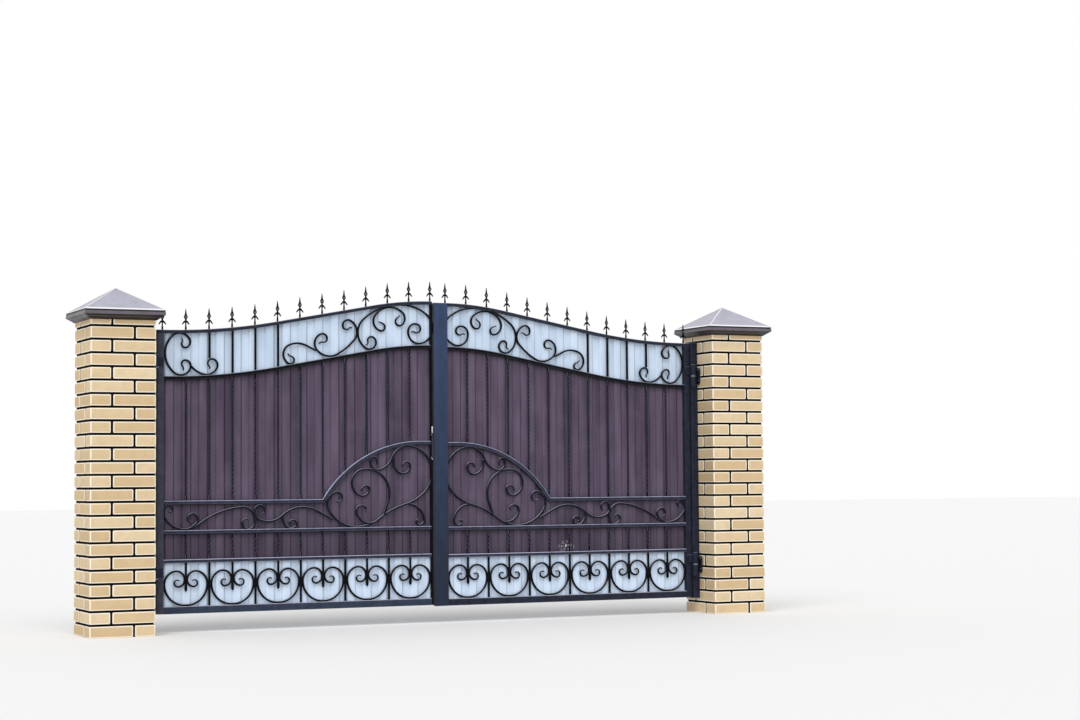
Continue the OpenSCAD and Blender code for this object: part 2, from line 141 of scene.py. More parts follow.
# a free curl thins over thin_run towards a round tip, and its rings stand at most arc_step degrees apart
thin_run = 75
thinnest = 0.6
scroll_r = 3
scroll_tip = 3.5
arc_step = 7.5
# middle of a finial's diamond, and lower end of the swollen bar in a heart
diamond_z = 78
drop_z = 85

# ribbed sheets
rib_pitch = 102.5
rib_first = {"left": 106, "right": 141}
rib_d = 9
sheet_t = 1.2
groove_w = 44
flank_w = 7
sheet_step = 12
# the painted shadow under a rail is thick over the first of these heights and fades out over the second
shadow_h = 14
shadow_fade_h = 42

# pull handle
pull_z = 1000
pull_len = 205
pull_r = 3
grip_len = 40
pull_off = 10
pull_in = 5
standoff_r = 2.6
standoff_in = 12

# places that follow from these
course_h = brick_h + bed_joint
side = pillar_w / 2
cap_half = side + cap_overhang
cap_low = courses * course_h - cap_lap
cap_edge = cap_low + cap_collar
cap_top = cap_edge + cap_fascia
cap_point = cap_top + cap_rise
leaf_x = side + post_w + hinge_gap
bar0 = stile_w - bar_inset
field_end = stile_w + bay * bays - 2 * bar_inset
left_w = field_end + meeting_w
right_w = field_end + wide_w
span = pillar_w + 2 * (post_w + hinge_gap) + left_w + right_w + strip_lap + meeting_gap
axis_x = leaf_x - axis_out
axis_y = leaf_y - barrel_gap - barrel_r
mid_y = leaf_y + rail / 2
rail_back = leaf_y + rail
finial_y = leaf_y + frame_d / 2
bottom_z = clearance + bottom_h
arch_u = field_end - arch_flat
arch_z = wave_rail_z + arch_rise - arch_r
sheet_split = shoulder_z - band_h - rail / 2
sheet_foot = low_rail_z - rail / 2


# shapes

def section(steps, rim=False):
    """Corners of a rounded rectangle, counter-clockwise, as rows of corner signs and unit offsets.

    A point is (sa w/2 + r ca, sb d/2 + r cb) with ca = cos t - sa and cb = sin t - sb. A rim adds two points
    on the front and two on the back, a little below the upper corners and above the lower ones.
    """
    t = np.radians(np.arange(4)[:, None] * 90 + np.linspace(0, 90, steps + 1)).ravel()
    sa = np.repeat([1, -1, -1, 1], steps + 1)
    sb = np.repeat([1, 1, -1, -1], steps + 1)
    rows = np.stack([sa, sb, np.cos(t) - sa, np.sin(t) - sb, 0 * t], 1)
    if rim:
        front = [[1, 1, 0, 0, 1], [-1, 1, 0, 0, 1]]
        back = [[-1, -1, 0, 0, 1], [1, -1, 0, 0, 1]]
        to_front, to_back = steps + 1, 3 * steps + 3
        rows = np.vstack([rows[:to_front], front, rows[to_front:to_back], back, rows[to_back:]])
    return rows


def skin(rings, mark=0.0):
    """Quads between neighbouring rings of a (rings, points, 3) array, and a fan round each end's middle."""
    n, m, _ = rings.shape
    i = np.arange(n - 1)[:, None] * m
    j = np.arange(m)
    k = (j + 1) % m
    quads = np.stack([i + j, i + k, i + m + k, i + m + j], -1).reshape(-1, 4)
    low = np.stack([k, j, np.full(m, n * m)], 1)
    high = np.stack([j + (n - 1) * m, k + (n - 1) * m, np.full(m, n * m + 1)], 1)
    marks = np.broadcast_to(mark, (n, m))
    points = np.vstack([rings.reshape(-1, 3), rings[0].mean(0), rings[-1].mean(0)])
    marks = np.concatenate([marks.ravel(), [marks[0].mean(), marks[-1].mean()]])
    return points, [quads, low, high], marks


def sweep(path, w, d, y, heading=None, r=2.0, steps=2, rim=0.0, rim_highlight=1.0, turn=0.0, tips=(0.0, 0.0)):
    """Carry a rounded rectangle, w wide in the gate's plane and d deep, along a path of (u, z).

    A point is path + a N - b Y, with N the path's left normal and (a, b) the section turned by turn. A tip
    closes its end with rings shrunk by cos q and moved on by the tip's length times sin q. Rims are edges
    painted pale as highlights, the upper one marked by the given amount, one value or one a point.
    """
    path = np.asarray(path, float)
    n = len(path)
    if heading is None:
        step = np.gradient(path, axis=0)
        heading = np.arctan2(step[:, 1], step[:, 0])
    q = np.radians([25, 50, 75])
    first, last = (len(q) if tip else 0 for tip in tips)
    values = [path, heading] + [np.broadcast_to(v, n) for v in (w, d, turn, rim_highlight)]
    path, heading, w, d, turn, rim_highlight = (
        np.concatenate([np.repeat(v[:1], first, 0), v, np.repeat(v[-1:], last, 0)]) for v in values)
    move = np.concatenate([-tips[0] * np.sin(q[::-1][:first]), np.zeros(n), tips[1] * np.sin(q[:last])])
    shrink = np.concatenate([np.cos(q[::-1][:first]), np.ones(n), np.cos(q[:last])])[:, None]
    path = path + move[:, None] * np.stack([np.cos(heading), np.sin(heading)], 1)
    sa, sb, ca, cb, under = section(steps, rim > 0).T
    # a little flat stays between two corners, so that no face is empty
    r = np.minimum(r, np.minimum(w, d) * 0.48)[:, None]
    a = shrink * (sa * w[:, None] / 2 + r * ca - rim * sa * under)
    b = shrink * (sb * d[:, None] / 2 + r * cb)
    c, s = np.cos(turn)[:, None], np.sin(turn)[:, None]
    a, b = a * c - b * s, a * s + b * c
    rings = np.stack([path[:, :1] - a * np.sin(heading)[:, None], y - b,
                      path[:, 1:] + a * np.cos(heading)[:, None]], -1)
    return skin(rings, np.where(sa > 0, 1, lower_rim_highlight) * ((under == 0) & (rim > 0)) * rim_highlight[:, None])


def block(low, high, r, axis=2, bevel=1.0):
    """Box with its four edges along an axis rounded to r, drawn in by bevel at both ends."""
    low, high = np.asarray(low, float), np.asarray(high, float)
    a, b = (axis + 1) % 3, (axis + 2) % 3
    sa, sb, ca, cb, _ = section(3).T
    inset = np.array([bevel, 0, 0, bevel])[:, None]
    rings = np.empty((4, len(sa), 3))
    rings[..., axis] = np.array([low[axis], low[axis] + bevel, high[axis] - bevel, high[axis]])[:, None]
    rings[..., a] = (low[a] + high[a]) / 2 + sa * ((high[a] - low[a]) / 2 - inset) + r * ca
    rings[..., b] = (low[b] + high[b]) / 2 + sb * ((high[b] - low[b]) / 2 - inset) + r * cb
    return skin(rings)


def turned(profile, centre, axis=2, around=24, mark=0.0):
    """Turn a profile of (radius, height) about an axis through centre: (r cos t, r sin t, height)."""
    profile = np.asarray(profile, float)
    t = np.linspace(0, 2 * np.pi, around, endpoint=False)
    rings = np.empty((len(profile), around, 3))
    rings[..., axis] = profile[:, 1:] + centre[axis]
    rings[..., (axis + 1) % 3] = profile[:, :1] * np.cos(t) + centre[(axis + 1) % 3]
    rings[..., (axis + 2) % 3] = profile[:, :1] * np.sin(t) + centre[(axis + 2) % 3]
    return skin(rings, np.reshape(mark, (-1, 1)))


def place(hand, part, shift=leaf_x, drop=right_drop):
    """Shift a part along X; for the right hand, mirror it about the gate's middle and let it down by drop."""
    points, faces, marks = part
    points = points + [shift, 0, 0]
    if hand == "right":
        points = points * [-1, 1, 1] + [span, 0, -drop]
        faces = [f[:, ::-1] for f in faces]
    return points, faces, marks


def make(name, parts, finish, body, nodes, slot):
    """Join parts into one smooth object in metres that rides on a body and stands for CAD nodes."""
    points = np.concatenate([p for p, _, _ in parts]) / 1000
    marks = np.concatenate([m for _, _, m in parts])
    faces = []
    first = 0
    for p, blocks, _ in parts:
        for f in blocks:
            faces += (f + first).tolist()
        first += len(p)
    mesh = bpy.data.meshes.new(name)
    mesh.from_pydata(points.tolist(), [], faces)
    mesh.attributes.new("mark", "FLOAT", "POINT").data.foreach_set("value", marks)
    mesh.shade_smooth()
    mesh.set_sharp_from_angle(angle=math.radians(40))
    mesh.materials.append(finish)
    piece = bpy.data.objects.new(name, mesh)
    bpy.context.scene.collection.objects.link(piece)
    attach(piece, body)
    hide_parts(*nodes)


# curves of the leaf

def lift(u):
    """Rise of the curved rails at u: level, a parabola up, a straight slope, and a parabola back to level."""
    v = np.asarray(u, float) - bar0
    length = bay * bays
    slope = rise / (length - (lower_bend + upper_bend) / 2)
    up = slope * v * v / (2 * lower_bend)
    over = rise - slope * (length - v) ** 2 / (2 * upper_bend)
    return np.select([v < 0, v < lower_bend, v < length - upper_bend, v < length],
                     [0 * v, up, slope * (v - lower_bend / 2), over], rise)


def curved_path(u0, u1, z):
    """Points along a curved rail's middle at height z."""
    u = np.linspace(u0, u1, 70)
    return np.stack([u, z + lift(u)], 1)


def arch_edge(u, down=0):
    """Upper edge of the wave rail and the quarter arch that rises from it, or a line at a distance below."""
    r = arch_r - down
    d = np.maximum(arch_u - np.asarray(u, float), 0)
    return np.maximum(arch_z + np.sqrt(np.maximum(r ** 2 - d ** 2, 0)), wave_rail_z - down)


def arcs(place0, heading, turns):
    """Chain of arcs (radius, turn): p = p0 + r g (sin h - sin h0, cos h0 - cos h), with g the turn's sign."""
    p, h = np.array(place0, float), math.radians(heading)
    points, headings = [p[None]], [np.array([h])]
    for r, turn in turns:
        n = max(2, math.ceil(abs(turn) / arc_step))
        a = h + math.radians(turn) * np.arange(1, n + 1) / n
        way = np.stack([np.sin(a) - np.sin(h), np.cos(h) - np.cos(a)], 1)
        points.append(p + math.copysign(r, turn) * way)
        headings.append(a)
        p, h = points[-1][-1], a[-1]
    return np.concatenate(points), np.concatenate(headings)


def scroll(place0, heading, turns, thin_start=True, thin_end=True):
    """Forged scroll: the bar thins towards its free curls, in width and a little in depth."""
    path, headings = arcs(place0, heading, turns)
    run = np.concatenate([[0], np.cumsum(np.hypot(*np.diff(path, axis=0).T))])
    thin = np.ones(len(path))
    for free, way in ((thin_start, run), (thin_end, run[-1] - run)):
        if free:
            thin = np.minimum(thin, thinnest + (1 - thinnest) * np.minimum(way / thin_run, 1))
    tips = [scroll_tip if free else 0.0 for free in (thin_start, thin_end)]
    return sweep(path, bar * thin, bar * (0.5 + 0.5 * thin), mid_y, headings, r=scroll_r, tips=tips)


def upright(u, low, high):
    """Plain bar between two heights."""
    return sweep([[u, low - sunk], [u, high + sunk]], bar, bar, mid_y)


def twisted(u, low, high):
    """Square bar turned about its own axis: plain ends, then one quarter turn every quarter_twist.

    The mark is 0.9 on two opposite arrises, which are painted pale as glints, and -2 on the others, so that
    it is 0 a third of the way between them.
    """
    rings = int((high - low - 2 * plain_end) / quarter_twist * quarter_rings)
    z = np.linspace(low + plain_end, high - plain_end, max(2, rings))
    turn = (z - z[0]) / quarter_twist * np.pi / 2
    z = np.concatenate([[low - 2 * sunk], z, [high + 2 * sunk]])
    turn = np.concatenate([[0], turn, turn[-1:]])
    path = np.stack([0 * z + u, z], 1)
    points, faces, marks = sweep(path, twisted_bar, twisted_bar, mid_y, r=1.2, steps=1, turn=turn)
    marks[:-2] = np.tile([0.9, 0.9, -2, -2], (len(marks) - 2) // 4)
    return points, faces, marks


# bricks, mortar and caps

def brick(x0, x1, y0, y1, z, rng):
    """Rounded block: a rounded rectangle carried up through rings that draw in at both beds, worn inwards.

    The whole part of its mark is the brick's shade, and the rest, which paints a highlight along the arrises,
    runs from 0.05 on its faces to 0.95 on its arrises.
    """
    sa, sb, ca, cb, _ = section(2).T
    sa, sb, ca, cb = (v.reshape(4, 3) for v in (sa, sb, ca, cb))
    # a point on the face stands arris_w before and after each rounded corner
    before, after = np.array([[0, 1, 0, 1], [1, 0, 1, 0]])[..., None] * arris_w / arris_r
    ca = np.hstack([-sa[:, :1] * before, ca, -sa[:, :1] * after])
    cb = np.hstack([-sb[:, :1] * after, cb, -sb[:, :1] * before])
    sa, sb = (np.repeat(v[:, :1], 5, 1).ravel() for v in (sa, sb))
    edge = np.tile([0, 1, 1, 1, 0], 4)
    height = np.array([0, arris_h, arris_w, brick_h - arris_w, brick_h - arris_h, brick_h])[:, None]
    inset = np.array([arris_r, 1.0, 0, 0, 1.0, arris_r])[:, None]
    inset = inset + rng.random((6, len(sa))) * brick_wear + rng.random() * stand_back
    a = (x0 + x1) / 2 + sa * ((x1 - x0) / 2 - inset) + arris_r * ca.ravel()
    b = (y0 + y1) / 2 + sb * ((y1 - y0) / 2 - inset) + arris_r * cb.ravel()
    rings = np.stack([a, b, z + height + 0 * a], -1)
    arris = np.maximum(edge, np.array([1, 1, 0, 0, 1, 1])[:, None])
    return skin(rings, np.floor(rng.random() * len(brick_shades)) + 0.05 + 0.9 * arris)


def pillar_bricks(x, seed):
    """Four bricks a course go round the pillar like a pinwheel, turned over in every second course."""
    rng = np.random.default_rng(seed)
    long_end = brick_l + upright_joint
    short_end = brick_w + upright_joint
    wheel = ((0, brick_l, 0, brick_w), (long_end, pillar_w, 0, brick_l),
             (short_end, pillar_w, long_end, pillar_w), (0, brick_w, short_end, pillar_w))
    parts = []
    for i in range(courses):
        for x0, x1, y0, y1 in wheel:
            if i % 2:
                x0, x1 = pillar_w - x1, pillar_w - x0
            parts.append(brick(x + x0 - side, x + x1 - side, y0 - side, y1 - side, i * course_h, rng))
    return parts


def mortar(x):
    """Core of the pillar, set back behind the faces of the bricks by the depth of the raked joints."""
    h = side - joint_depth
    return [block((x - h, -h, 0), (x + h, h, courses * course_h), r=1, bevel=0.5)]


def cap_cover(x):
    """Folded sheet cap: a square carried up the profile of collar, fascia, drip fold and roof.

    A mark above 0 paints a highlight along the folds, and one below 0 paints shade under the hem and on the
    collar.
    """
    # half width, height and mark
    profile = np.array([
        (side + 1, cap_low + 3, -1), (side + 1, cap_low, -1), (side + 3, cap_low, -1),
        (side + 21, cap_low + 13, -0.9), (side + 27, cap_low + 17, -0.3), (side + 32, cap_low + 20.5, -1),
        (cap_half - 5, cap_edge - 1, -1), (cap_half - 2.5, cap_edge - 1, -0.8),
        (cap_half - 1, cap_edge, -0.2), (cap_half - 1, cap_edge + 3, 0), (cap_half - 2, cap_edge + 6, 0),
        (cap_half - 2, cap_top - 11, 0), (cap_half - 3, cap_top - 9, -0.9), (cap_half - 4.5, cap_top - 6, -1),
        (cap_half - 4.5, cap_top - 1.5, -1), (cap_half - 1, cap_top - 1.5, -0.6),
        (cap_half, cap_top - 0.7, 0.2), (cap_half - 0.8, cap_top + 0.5, 1), (cap_half - 6, cap_top + 3.4, 1),
        (cap_half - 14, cap_top + 8.2, 0.9), (cap_half - 18, cap_top + 10.6, 0),
        (cap_half * 0.5, cap_top + 70.5, 0), (6, cap_point - 3.6, 0), (3, cap_point - 1.4, 0.5),
        (1, cap_point - 0.4, 0.6)])
    half, height, mark = (profile[:, k:k + 1] for k in range(3))
    edge = np.linspace(-1, 1, 13)[:-1]
    ones = np.ones_like(edge)
    # once round the square, counter-clockwise, as signs of the half width
    a = np.concatenate([ones, -edge, -ones, edge])
    b = np.concatenate([edge, ones, -edge, -ones])
    # the corners are drawn in by 0.8 mm, and each face sags a little between the hips
    corner = (np.abs(a) == 1) & (np.abs(b) == 1)
    draw = half - corner * np.minimum(0.8, half * 0.3)
    rings = np.stack([x + a * draw, b * draw, height + 0 * draw], -1)
    sag = np.clip((height - cap_top - 6) / 30, 0, 1) * np.clip((cap_point - 20 - height) / 60, 0, 1)
    rings[..., 2] -= cap_sag * sag * (1 - np.minimum(np.abs(a), np.abs(b)) ** 2)
    return [skin(rings, mark)] + [hip_fold(x, sx, sy) for sx in (-1, 1) for sy in (-1, 1)]


def hip_fold(x, sx, sy):
    """Low ridge along a hip, from the corner of the cap to its point: a flat ellipse carried up the slope,
    painted pale as a highlight.
    """
    t = np.linspace(0.02, 0.965, 12)[:, None]
    q = np.linspace(0, 2 * np.pi, 10, endpoint=False)
    half = cap_half * (1 - t)
    across = 0.7 * 3.4 * np.cos(q)
    rings = np.stack([x + sx * (half - across), sy * (half + across),
                      cap_top + (cap_point - cap_top) * t + 1.3 * np.sin(q) - 0.6], -1)
    # two of the four hips are mirrored, and their rings run the other way round
    return skin(rings[:, ::-sx * sy], 1.0)


# hinge posts and hinges

def barrel(z0, z1, split_up):
    """Half a hinge barrel with turned ends; the end at the split is rubbed a little."""
    profile = [(barrel_r - barrel_rim, z0), (barrel_r, z0 + barrel_rim), (barrel_r, z0 + 6),
               (barrel_r, z1 - 6), (barrel_r, z1 - barrel_rim), (barrel_r - barrel_rim, z1)]
    bare = np.array([0, 0, 0, 0, 0.4, 0.4])
    return turned(profile, (axis_x, axis_y, 0), mark=bare if split_up else bare[::-1])


def hinge_post():
    """Square tube with a domed lid, two bolted wall plates, and the lower halves of the barrels on straps."""
    x = side + post_w / 2
    y = leaf_y + post_w / 2
    bolt = [(7.5, 0), (7.5, 3.5), (6, 5), (2, 5.2)]
    parts = [sweep([[x, clearance - post_foot], [x, shoulder_z - post_lid]], post_w, post_w, y, r=5, steps=3,
                   tips=(0, post_lid))]
    for z in hinges:
        h = wall_plate_h / 2
        low = z - barrel_len / 2
        parts.append(block((side, leaf_y - wall_plate_out, z - h),
                           (side + wall_plate_t, leaf_y + sunk, z + h), r=18, axis=0))
        parts.append(barrel(low, z - barrel_split / 2, True))
        parts.append(block((axis_x - 12, axis_y + barrel_r - 4, low + lower_strap),
                           (side + post_w - sunk, leaf_y + sunk, low + lower_strap + strap_h), r=1.5, axis=0))
        for dz in (-bolt_up, bolt_up):
            centre = (side + wall_plate_t - 0.2, leaf_y - bolt_out, z + dz)
            parts.append(turned(bolt, centre, axis=0, around=6))
    return parts


def hinge_half():
    """Upper half of each barrel with the strap that carries the leaf."""
    parts = []
    for z in hinges:
        z0 = z + barrel_split / 2
        low = z0 + upper_strap
        parts.append(place("left", barrel(z0, z + barrel_len / 2, False), -leaf_x))
        parts.append(block((axis_x - leaf_x + 4, axis_y + barrel_r - strap_t, low),
                           (stile_w - 6, leaf_y + 0.5, low + strap_h), r=1.5, axis=0))
    return parts


# frame of a leaf

def stile(u0, u1, high):
    """Upright tube of a leaf's frame."""
    u = (u0 + u1) / 2
    return [sweep([[u, clearance + 2], [u, high]], u1 - u0, frame_d, leaf_y + frame_d / 2, r=3, steps=3,
                  tips=(2, 0))]


def level_rail(z, h, d, rim_highlight):
    """Straight rail with its upper edge at z, its rims painted pale as highlights by the amounts given at
    even steps from the hinge stile.
    """
    u = np.linspace(stile_w - sunk, field_end + sunk, max(2, len(rim_highlight)))
    path = np.stack([u, 0 * u + z - h / 2], 1)
    return sweep(path, h, d, leaf_y + d / 2, r=2.5, steps=3, rim=rim_w, rim_highlight=rim_highlight)


def top_rail(end):
    """Tube that follows the curve over the stiles, its ends closed."""
    return [sweep(curved_path(2, end - 2, shoulder_z - rail / 2), rail, frame_d, leaf_y + frame_d / 2, r=3,
                  steps=3, rim=rim_w, rim_highlight=0.35, tips=(2, 2))]


def square_rail(path, rim_highlight, heading=None):
    """Square rail along a path."""
    return sweep(path, rail, rail, mid_y, heading, r=2.5, steps=3, rim=rim_w, rim_highlight=rim_highlight)


def band_rail():
    """Second curved rail."""
    return [square_rail(curved_path(stile_w - sunk, field_end + sunk, sheet_split), 0.45)]


def arch_rail():
    """Wave rail that turns up into a quarter arch at the middle of the gate."""
    low = wave_rail_z - rail / 2
    r = arch_r - rail / 2
    a = np.linspace(-math.acos((low - arch_z) / r), 0, 40)
    arch = np.stack([arch_u + r * np.sin(a), arch_z + r * np.cos(a)], 1)
    path = np.vstack([arch, [[field_end + sunk, arch_z + r]]])
    return [square_rail([[stile_w - sunk, low], [arch[0, 0] + 3, low]], 0.8),
            square_rail(path, 0.8, np.append(-a, 0))]


# ironwork of a leaf

def bar_lines(first, last, step=1):
    """Places of the bars along the leaf."""
    return [bar0 + bay * k for k in range(first, last + 1, step)]


def twisted_bars():
    """Twisted bars from the wave rail to the second curved rail, and short ones between the cross rails."""
    parts = []
    for u in bar_lines(1, bays - 1):
        parts.append(twisted(u, arch_edge(u), shoulder_z - band_h - rail + lift(u)))
        parts.append(twisted(u, low_rail_z, mid_rail_z - rail))
    return parts


def band_bars():
    """Plain bars between the two curved rails."""
    return [upright(u, shoulder_z - band_h + lift(u), shoulder_z - rail + lift(u))
            for u in bar_lines(3, 5)]


def finial(u):
    """Forged spear point: an ellipse carried up the stem, neck, diamond and spike, with a leaf that droops to
    each side, a rounded bar carried down a slightly bowed line.
    """
    z = shoulder_z - 2 + lift(u)
    # height, half width and half depth
    profile = np.array([
        (0, 5.6, 5), (10, 6, 5), (19, 5.6, 4.8), (27, 4.2, 4.2), (36, 4.0, 4.2), (44, 5, 4.6), (52, 6.6, 5),
        (60, 5.2, 4.8), (66, 5.8, 4.8), (71, 9.4, 5), (77, 12.4, 5), (82, 12.0, 4.9), (87, 9, 4.6),
        (93, 6.6, 4.2), (101, 5.2, 3.6), (110, 4.0, 3.0), (118, 2.8, 2.4), (124, 1.6, 1.4), (127, 0.6, 0.5)])
    height, half_w, half_d = (profile[:, k:k + 1] for k in range(3))
    q = np.linspace(0, 2 * np.pi, 12, endpoint=False)
    rings = np.stack([u + half_w * np.cos(q), finial_y + half_d * np.sin(q), z + height + 0 * q], -1)
    # the front of the diamond's middle is painted pale as a highlight
    spot = np.exp(-((height - diamond_z) / 3) ** 2) * np.clip(-np.sin(q), 0, 1) ** 6
    parts = [skin(rings, spot)]
    t = np.linspace(0, 1, 8)
    for s in (-1, 1):
        leaf = np.stack([u + s * (2 + 18.5 * t), z + 56 - 21 * t ** 1.25], 1)
        width = 6.5 + 3 * np.sin(np.pi * t ** 0.8)
        parts.append(sweep(leaf, width, 2.5 + 0.55 * width, finial_y, r=3, tips=(0, 2.5)))
    return parts


def at_band(k, up):
    """Place measured from bar line 0 and the second curved rail's upper edge."""
    return bar0 + k * bay, shoulder_z - band_h + lift(bar0 + k * bay) + up


def at_arch(k, up):
    """Place measured from bar line 0 and the wave rail's upper edge."""
    return bar0 + k * bay, wave_rail_z + up


def band_scrolls():
    """Scrolls between the two curved rails, and the short bar that stands on the first one."""
    u, z = at_band(2, short_bar_up)
    return [
        # big C beside the hinge stile, and its branch, which carries the short bar
        scroll(at_band(0.807, 221), -45, [
            (16, -77), (22, 146), (36, 97), (66, 100), (135, 50), (149, 49), (63, 109), (35, 108), (21, 132),
            (31, -48)]),
        scroll(at_band(1.211, 57), -51, [(134, 40), (70, 81), (35, 105), (25, 143), (11, -87)],
               thin_start=False),
        upright(u, z, shoulder_z - rail + lift(u)),
        # open U with both ends curled in, and its branch towards the hinge stile
        scroll(at_band(6.839, 96), 60, [
            (18, -77), (23, 109), (29, 107), (61, 113), (105, 76), (377, 22), (75, 107), (33, 135), (22, 118),
            (15, -83)]),
        scroll(at_band(5.437, 66), -55, [(40, 41), (21, -110), (26, -88), (62, -125), (133, -51), (849, 4)],
               thin_end=False),
        # largest C, hanging from the top rail, and the small C inside it
        scroll(at_band(8.977, 36), 17, [
            (19, 91), (21, -114), (34, -100), (45, -109), (112, -103), (365, -49), (253, -32), (102, -121),
            (71, -120), (46, -105), (27, -121), (23, -68), (19, 69)]),
        scroll(at_band(9.572, 164), -11, [
            (106, -15), (24, -168), (60, -110), (122, -95), (50, -105), (26, -190), (27, 38)]),
    ]


def arch_scrolls():
    """Scrolls under the arch, and the hook at its foot that takes up the wave."""
    return [
        scroll(at_arch(9.458, 208), 75, [
            (44, 54), (15, 106), (46, 136), (117, 58), (113, -80), (167, -124), (281, -30), (490, 24),
            (87, -115), (34, -66), (33, -95), (11, -101)]),
        scroll(at_arch(10.251, 241), -107, [(71, 90), (46, 115), (23, 74), (26, 102)], thin_start=False),
        scroll(at_arch(8.736, 48), 85, [
            (33, -91), (18, -82), (43, -112), (82, -77), (82, -71), (148, -124), (716, 6)], thin_end=False),
        scroll(at_arch(10.938, -36), -3, [(108, -79), (32, -63), (26, -109), (12, -116)], thin_start=False),
        scroll(at_arch(7.618, -11), -45, [(20, 100), (29, 49), (35, 96), (74, 101), (212, 85)],
               thin_end=False),
    ]


def wave_scrolls():
    """Running wave between the middle cross rail and the wave rail."""
    return [
        scroll(at_arch(0.283, -62), -34, [
            (14, 130), (27, 61), (23, 81), (63, 65), (139, 94), (490, -33), (79, -111), (43, -38), (38, -125),
            (23, -133)]),
        scroll(at_arch(1.019, -170), 17, [(134, 31), (33, 108), (29, 117), (19, 87)], thin_start=False),
        scroll(at_arch(4.312, -84), 38, [(30, 85), (28, 105), (47, 104), (129, 70), (191, -67), (1200, -6)],
               thin_end=False),
        scroll(at_arch(5.196, -92), -98, [(81, 50), (44, 82), (24, 104), (23, 105), (12, 99)],
               thin_start=False),
    ]


def heart(u, z):
    """Two mirrored scrolls that meet in a foot."""
    turns = [(17, 141), (23, 89), (42, 98), (52, 85), (75, 77), (123, 94)]
    half = scroll((-41, z + 142), 139, turns, thin_end=False)
    points, faces, marks = half
    return [place("left", half, u), (points * [-1, 1, 1] + [u, 0, 0], [f[:, ::-1] for f in faces], marks)]


def hearts():
    """Hearts on the bottom rail, each round a bar with a swollen end, and a plain bar between two hearts."""
    low = bottom_z + weld
    high = low_rail_z - rail
    parts = []
    for u in bar_lines(1, bays - 1, 2):
        parts += heart(u, low + bar / 2)
        # the bar swells to a drop: width over height above its lower end
        up = np.array([0, 3, 8, 15, 24, 34, 44, 54, 64, high - low - drop_z])
        w = np.array([5, 10, 15, 17, 16.5, 15, 13.2, 12.2, 12, 12])
        path = np.stack([u + 0 * up, low + drop_z + up], 1)
        parts.append(sweep(path, w, np.minimum(w, bar), mid_y, r=3.5, tips=(2, 0)))
    for u in bar_lines(2, bays - 2, 2):
        parts.append(upright(u, low, high))
    return parts


# ribbed sheets

def ribbed(hand, levels, rail_shadow):
    """Ribbed sheet through levels, functions of u that give its heights from the lower to the upper edge.

    In plan the front face runs through the bends of the ribs, each bend rounded through four points; a closed
    ring goes up the back and down the front at every u, and the rings are joined along the leaf. On the front
    the mark is the larger of the painted shade in the folds, partly soiling, and the painted shadow given
    with the levels under the rails, and on the back it is -1.
    """
    first = rib_first[hand]
    n = math.ceil(field_end / rib_pitch)
    corner = (np.arange(-2, n)[:, None] * rib_pitch + first
              + [0, groove_w, groove_w + flank_w, rib_pitch - flank_w]).ravel()
    depth = np.tile([rib_d, rib_d, 0, 0], n + 2).astype(float)
    bends = (corner[:, None] + [-2.6, -1.0, 1.0, 2.6]).ravel()
    # each bend is eased towards the mean of its neighbours
    bent = np.convolve(np.pad(np.interp(bends, corner, depth), 1, "edge"), [0.25, 0.5, 0.25], "valid")
    u = np.concatenate([bends, np.arange(stile_w, field_end + 1, sheet_step)])
    u = np.unique(np.round(u[(u >= stile_w) & (u <= field_end)], 2))
    # painted shade, partly soiling, lies in the foot of the flank that leads away from the left, and a little
    # in the other one
    far, near = (0, groove_w) if hand == "left" else (groove_w + 2, -1)
    phase = [(u - first - at + rib_pitch / 2) % rib_pitch - rib_pitch / 2 for at in (far, near)]
    fold_shade_and_dirt = np.exp(-(phase[0] / 2.3) ** 2) + 0.3 * np.exp(-(phase[1] / 2.0) ** 2)
    z = np.stack([level(u) for level in levels], 1)
    y = rail_back + np.interp(u, bends, bent)[:, None] + np.repeat([sheet_t, 0], len(levels))
    rings = np.stack([np.broadcast_to(u[:, None], y.shape), y, np.hstack([z, z[:, ::-1]])], -1)
    front = np.maximum(fold_shade_and_dirt[:, None], rail_shadow[::-1])
    return [skin(rings, np.hstack([front * 0 - 1, front]))]


def level(z):
    """Straight level of a sheet."""
    return lambda u: z + 0 * u


def curved(z):
    """Level along a curved rail."""
    return lambda u: z + lift(u)


def under_arch(down):
    """Level at a distance below the wave rail and its arch."""
    return lambda u: arch_edge(u, down)


def top_sheet(hand):
    """Sheet behind the band of scrolls, with painted shadow under the top rail."""
    high = shoulder_z - rail
    return ribbed(hand, [curved(sheet_split), curved(sheet_split + rail / 2), curved(high - shadow_h),
                         curved(high)], [0, 0, 0, 0.1])


def main_sheet(hand):
    """Sheet from the lower cross rail to the second curved rail, with painted shadow under every rail that
    crosses it.
    """
    high = sheet_split - rail / 2
    mid = mid_rail_z - rail
    return ribbed(hand, [
        level(sheet_foot), level(low_rail_z),
        level(mid - shadow_fade_h), level(mid - shadow_h), level(mid), level(mid_rail_z),
        under_arch(rail + shadow_fade_h), under_arch(rail + shadow_h), under_arch(rail), under_arch(0),
        curved(high - shadow_fade_h), curved(high - shadow_h), curved(high), curved(sheet_split - 1)],
        [0, 0, 0, 0.3, 1, 0, 0, 0.3, 1, 0, 0, 0.2, 1, 1])


def bottom_sheet(hand):
    """Sheet behind the hearts, with painted shadow under the lower cross rail."""
    high = low_rail_z - rail
    return ribbed(hand, [level(bottom_z), level(high - shadow_h), level(high), level(sheet_foot - 1)],
                  [0, 0, 1, 1])


# pull handle and cover strip

